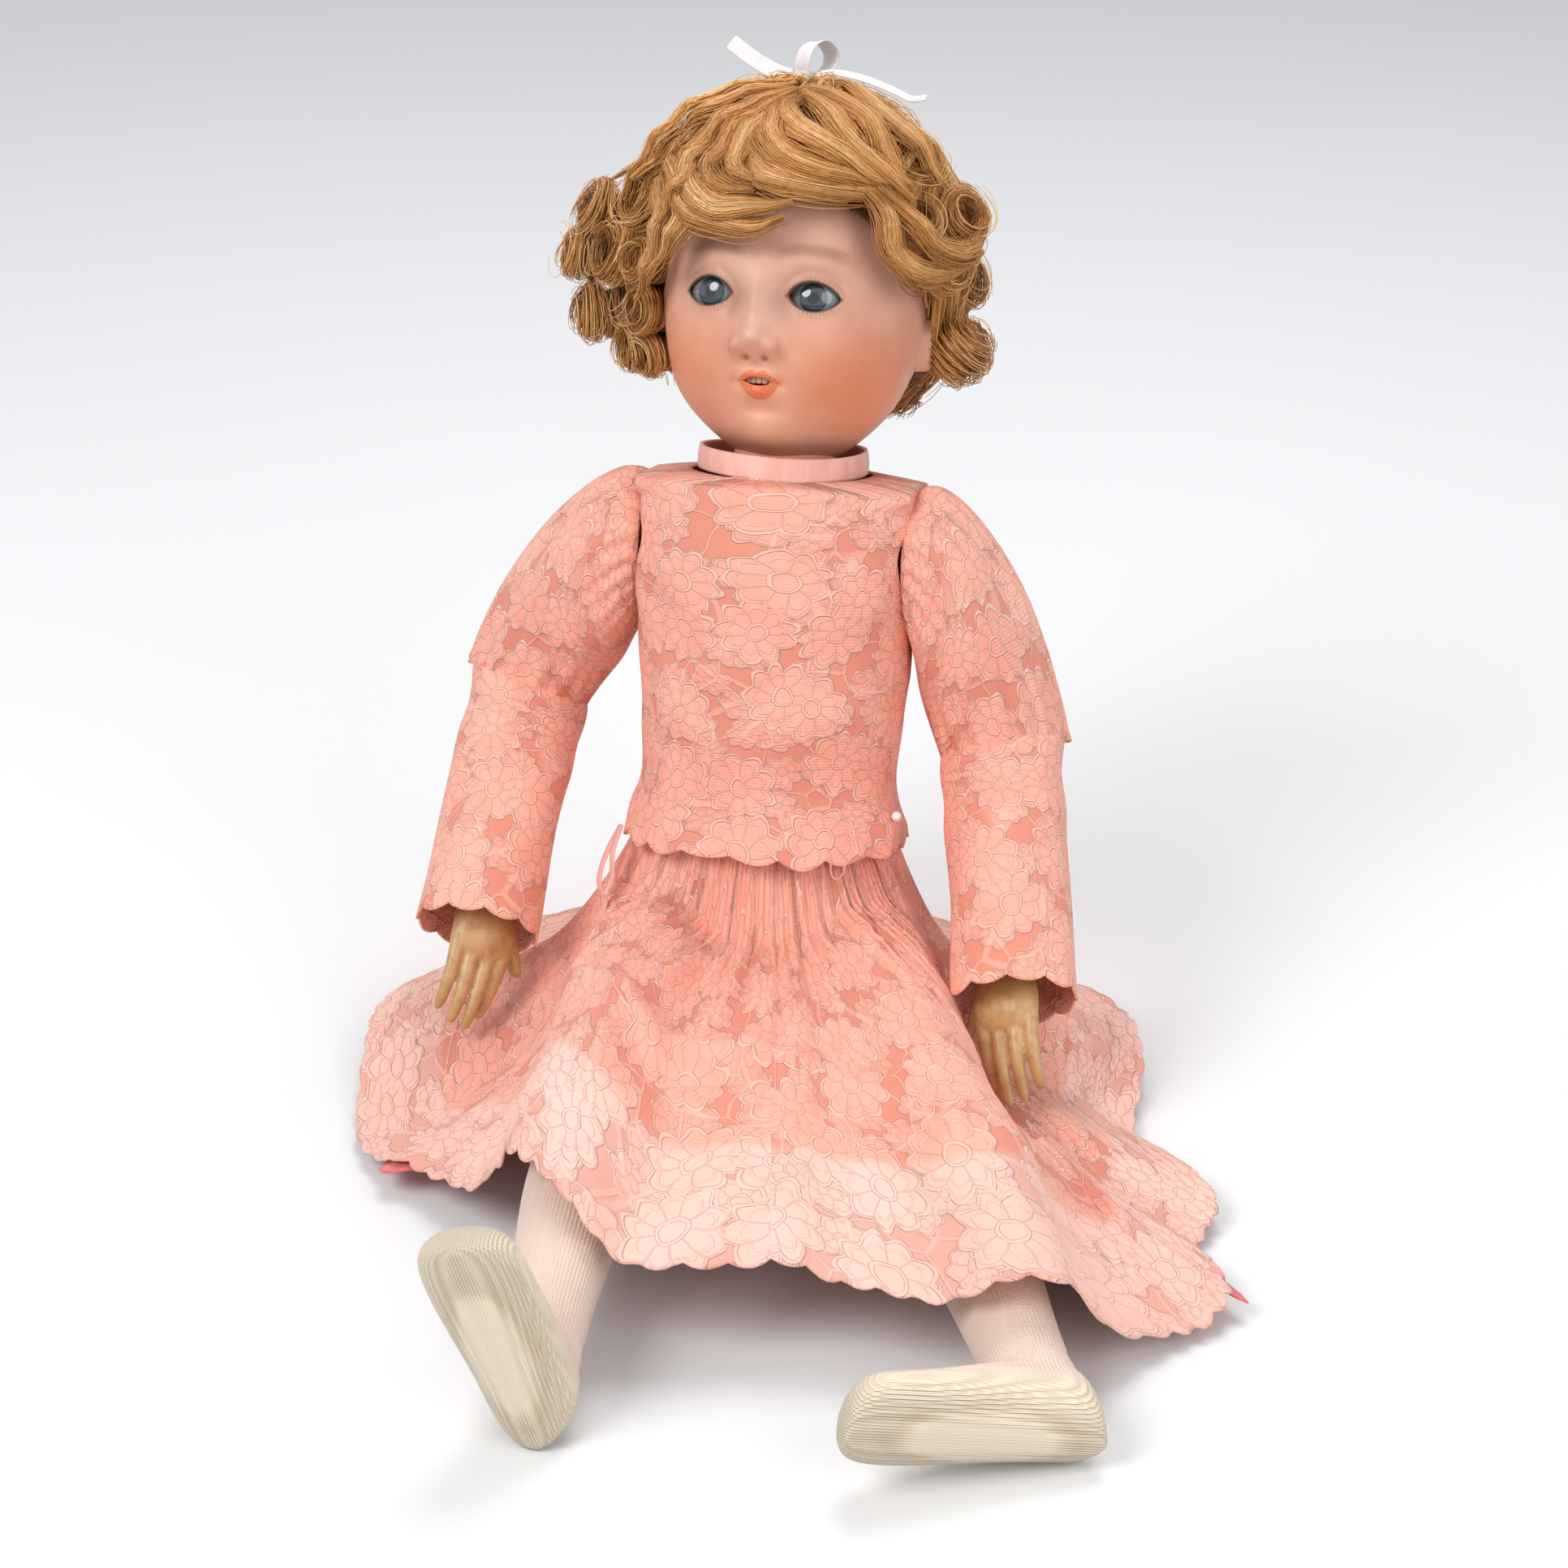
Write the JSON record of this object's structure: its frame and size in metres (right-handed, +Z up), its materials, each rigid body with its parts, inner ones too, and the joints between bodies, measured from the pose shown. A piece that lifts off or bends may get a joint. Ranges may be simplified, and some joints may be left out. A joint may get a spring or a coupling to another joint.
{
  "type": "ball-jointed doll",
  "caption": "Seated child doll with a strung ball-jointed body, bisque socket head with sleep eyes, curled wig, lace dress over satin, and knitted stockings.",
  "frame": {"origin": "where the middle of the doll's seat rests on the floor", "axes": "+Z up, the doll faces -Y, its own left side is +X"},
  "size_m": [0.3023, 0.3867, 0.3271],
  "materials": {
    "composition": "painted composition, satin",
    "limb_wood": "turned and painted, satin",
    "ball_wood": "turned and painted, satin",
    "bisque": "unglazed bisque, matte",
    "teeth": "glazed",
    "card": "pressed card",
    "cork": "cut cork",
    "plaster": "set plaster, matte",
    "eye_glass": "blown and polished, opaque",
    "wire": "drawn wire, dull",
    "lead": "cast lead, dull",
    "elastic": "braided cotton over rubber",
    "gauze": "sewn cotton gauze",
    "mohair": "combed and curled mohair",
    "white_satin": "satin weave, soft sheen",
    "pink_satin": "satin weave, soft sheen",
    "coral_lace": "corded lace on net",
    "cream_knit": "ribbed cotton knit"
  },
  "bodies": {
    "torso": {"torso_front": "composition", "torso_back": "composition", "arm_elastic_torso": "elastic", "leg_elastic_torso": "elastic", "bodice": "coral_lace", "collar_band": "pink_satin", "skirt_lace": "coral_lace", "skirt_lining": "pink_satin"},
    "neck": {"neck_plug": "ball_wood", "neck_hook": "wire"},
    "head": {"head_shell": "bisque", "pate": "card", "wig_cap": "gauze", "wig_crown": "mohair", "wig_curls_right": "mohair", "wig_curls_left": "mohair", "ribbon_bow": "white_satin", "plaster_pad_right": "plaster", "plaster_pad_left": "plaster", "eye_bumper": "cork", "upper_teeth": "teeth"},
    "eyes": {"glass_eye_right": "eye_glass", "glass_eye_left": "eye_glass", "eye_rocker": "wire", "eye_weight": "lead"},
    "shoulder_ball_right": {"shoulder_ball_right": "ball_wood", "upper_sleeve_right": "coral_lace"},
    "upper_arm_right": {"upper_arm_right": "limb_wood", "arm_elastic_upper_right": "elastic"},
    "elbow_ball_right": {"elbow_ball_right": "ball_wood", "lower_sleeve_right": "coral_lace"},
    "forearm_right": {"forearm_right": "limb_wood", "arm_elastic_fore_right": "elastic"},
    "hand_right": {"hand_right": "composition", "hand_hook_right": "wire"},
    "hip_ball_right": {"hip_ball_right": "ball_wood"},
    "thigh_right": {"thigh_right": "limb_wood", "leg_elastic_right": "elastic"},
    "knee_ball_right": {"knee_ball_right": "ball_wood"},
    "lower_leg_right": {"lower_leg_right": "composition", "leg_hook_right": "wire", "stocking_right": "cream_knit"},
    "shoulder_ball_left": {"shoulder_ball_left": "ball_wood", "upper_sleeve_left": "coral_lace"},
    "upper_arm_left": {"upper_arm_left": "limb_wood", "arm_elastic_upper_left": "elastic"},
    "elbow_ball_left": {"elbow_ball_left": "ball_wood", "lower_sleeve_left": "coral_lace"},
    "forearm_left": {"forearm_left": "limb_wood", "arm_elastic_fore_left": "elastic"},
    "hand_left": {"hand_left": "composition", "hand_hook_left": "wire"},
    "hip_ball_left": {"hip_ball_left": "ball_wood"},
    "thigh_left": {"thigh_left": "limb_wood", "leg_elastic_left": "elastic"},
    "knee_ball_left": {"knee_ball_left": "ball_wood"},
    "lower_leg_left": {"lower_leg_left": "composition", "leg_hook_left": "wire", "stocking_left": "cream_knit"}
  },
  "joints": [
    {"name": "head_turn", "type": "hinge", "parent": "torso", "child": "neck", "pos_m": [0, 0.03909, 0.18389], "axis": [0, 0.2079, 0.9781], "range_deg": [-60, 60]},
    {"name": "head_nod", "type": "hinge", "parent": "neck", "child": "head", "pos_m": [0, 0.03909, 0.18389], "axis": [0.9976, -0.0682, 0.0145], "range_deg": [-2, 9]},
    {"name": "eyes_close", "type": "hinge", "parent": "head", "child": "eyes", "pos_m": [-0.00167, 0.02968, 0.25437], "axis": [0.9976, -0.0682, 0.0145], "range_deg": [0, 62]},
    {"name": "arm_swing_right", "type": "hinge", "parent": "torso", "child": "shoulder_ball_right", "pos_m": [-0.052, 0.03772, 0.16783], "axis": [-1, 0, 0], "range_deg": [-20, 130]},
    {"name": "arm_lift_right", "type": "hinge", "parent": "shoulder_ball_right", "child": "upper_arm_right", "pos_m": [-0.052, 0.03772, 0.16783], "axis": [0, 0.9969, 0.0785], "range_deg": [-10, 50], "deforming": ["upper_sleeve_right", "arm_elastic_upper_right", "bodice", "arm_elastic_torso"]},
    {"name": "elbow_bend_right", "type": "hinge", "parent": "upper_arm_right", "child": "elbow_ball_right", "pos_m": [-0.0874, 0.04199, 0.11348], "axis": [-0.7662, -0.4445, 0.4641], "range_deg": [-59, 31], "deforming": ["lower_sleeve_right", "arm_elastic_fore_right"]},
    {"name": "forearm_twist_right", "type": "hinge", "parent": "elbow_ball_right", "child": "forearm_right", "pos_m": [-0.0874, 0.04199, 0.11348], "axis": [0.0119, -0.7319, -0.6814], "range_deg": [-60, 90]},
    {"name": "wrist_bend_right", "type": "hinge", "parent": "forearm_right", "child": "hand_right", "pos_m": [-0.08658, -0.0085, 0.06647], "axis": [-0.7662, -0.4445, 0.4641], "range_deg": [-45, 45]},
    {"name": "arm_swing_left", "type": "hinge", "parent": "torso", "child": "shoulder_ball_left", "pos_m": [0.052, 0.03772, 0.16783], "axis": [-1, 0, 0], "range_deg": [-20, 130]},
    {"name": "arm_lift_left", "type": "hinge", "parent": "shoulder_ball_left", "child": "upper_arm_left", "pos_m": [0.052, 0.03772, 0.16783], "axis": [0, -0.9976, 0.0698], "range_deg": [-3, 62], "deforming": ["upper_sleeve_left", "arm_elastic_upper_left"]},
    {"name": "elbow_bend_left", "type": "hinge", "parent": "upper_arm_left", "child": "elbow_ball_left", "pos_m": [0.07572, 0.0335, 0.10745], "axis": [-0.9183, 0.1395, -0.3705], "range_deg": [-46, 44], "deforming": ["lower_sleeve_left", "arm_elastic_fore_left"]},
    {"name": "forearm_twist_left", "type": "hinge", "parent": "elbow_ball_left", "child": "forearm_left", "pos_m": [0.07572, 0.0335, 0.10745], "axis": [-0.1429, 0.7559, 0.6389], "range_deg": [-60, 90]},
    {"name": "wrist_bend_left", "type": "hinge", "parent": "forearm_left", "child": "hand_left", "pos_m": [0.08558, -0.01866, 0.06337], "axis": [-0.9183, 0.1395, -0.3705], "range_deg": [-45, 45]},
    {"name": "hip_swing_right", "type": "hinge", "parent": "torso", "child": "hip_ball_right", "pos_m": [-0.032, 0.00007, 0.03883], "axis": [-1, 0, 0], "range_deg": [-80, 10], "deforming": ["skirt_lace", "skirt_lining", "leg_elastic_torso"]},
    {"name": "leg_spread_right", "type": "hinge", "parent": "hip_ball_right", "child": "thigh_right", "pos_m": [-0.032, 0.00007, 0.03883], "axis": [0, -0.0384, -0.9993], "range_deg": [-2, 25]},
    {"name": "knee_bend_right", "type": "hinge", "parent": "thigh_right", "child": "knee_ball_right", "pos_m": [-0.02337, -0.10951, 0.04304], "axis": [0.9969, 0.0784, -0.003], "range_deg": [-14, 66], "deforming": ["leg_elastic_right"]},
    {"name": "shin_twist_right", "type": "hinge", "parent": "knee_ball_right", "child": "lower_leg_right", "pos_m": [-0.02337, -0.10951, 0.04304], "axis": [-0.0761, 0.9759, 0.2046], "range_deg": [-30, 60]},
    {"name": "hip_swing_left", "type": "hinge", "parent": "torso", "child": "hip_ball_left", "pos_m": [0.032, 0.00007, 0.03883], "axis": [-1, 0, 0], "range_deg": [-72, 14]},
    {"name": "leg_spread_left", "type": "hinge", "parent": "hip_ball_left", "child": "thigh_left", "pos_m": [0.032, 0.00007, 0.03883], "axis": [0, -0.0645, 0.9979], "range_deg": [-18, 6]},
    {"name": "knee_bend_left", "type": "hinge", "parent": "thigh_left", "child": "knee_ball_left", "pos_m": [0.07674, -0.10021, 0.03235], "axis": [0.9135, 0.4059, 0.0262], "range_deg": [-5, 75], "deforming": ["leg_elastic_left"]},
    {"name": "shin_twist_left", "type": "hinge", "parent": "knee_ball_left", "child": "lower_leg_left", "pos_m": [0.07674, -0.10021, 0.03235], "axis": [0.4052, -0.9025, -0.1457], "range_deg": [-90, 12]}
  ]
}
